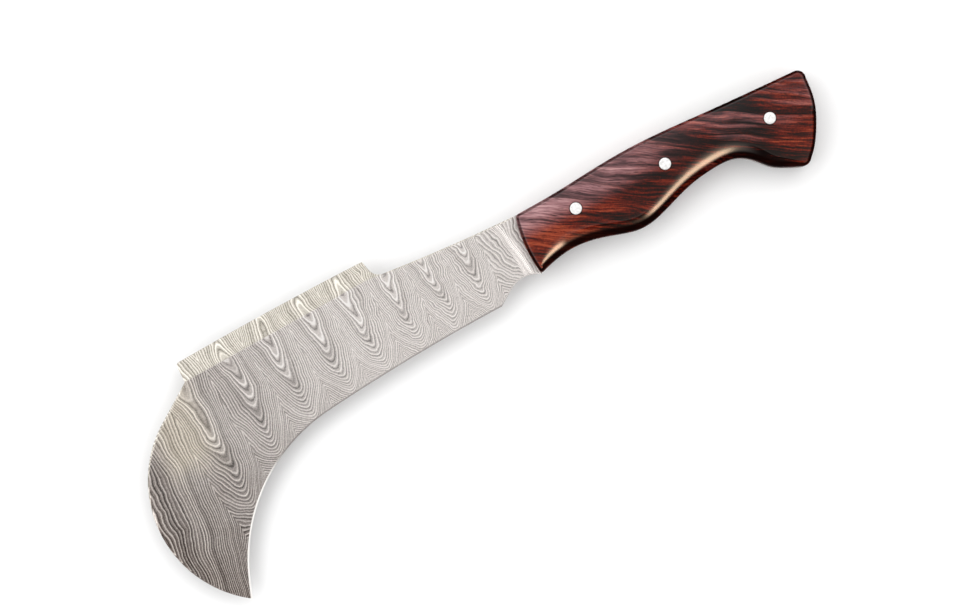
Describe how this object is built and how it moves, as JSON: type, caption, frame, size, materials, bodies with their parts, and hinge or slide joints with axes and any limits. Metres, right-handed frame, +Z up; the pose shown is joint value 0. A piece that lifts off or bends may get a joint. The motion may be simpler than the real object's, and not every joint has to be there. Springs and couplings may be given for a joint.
{
  "type": "hook knife",
  "caption": "Full-tang hook knife: a hooked layered-steel blade with a concave cutting edge and a raised bevelled back, and a riveted wooden handle with a beaked butt.",
  "frame": {"origin": "on the flat outer face of the right-hand scale, on the axis of the middle pin; the knife lies on this face", "axes": "+X from the blade towards the butt, +Y from the cutting edge towards the spine, +Z up through the handle's thickness, towards the left-hand scale"},
  "size_m": [0.3222, 0.103, 0.02],
  "materials": {
    "blade": "etched layered steel",
    "scale_left": "polished dark red-brown hardwood",
    "scale_right": "polished dark red-brown hardwood",
    "bond": "cured dark adhesive",
    "pins": "polished"
  },
  "bodies": {
    "root": {"blade": "blade", "scale_left": "scale_left", "scale_right": "scale_right", "bond_left": "bond", "bond_right": "bond", "pin_front": "pins", "pin_middle": "pins", "pin_rear": "pins"}
  },
  "joints": []
}
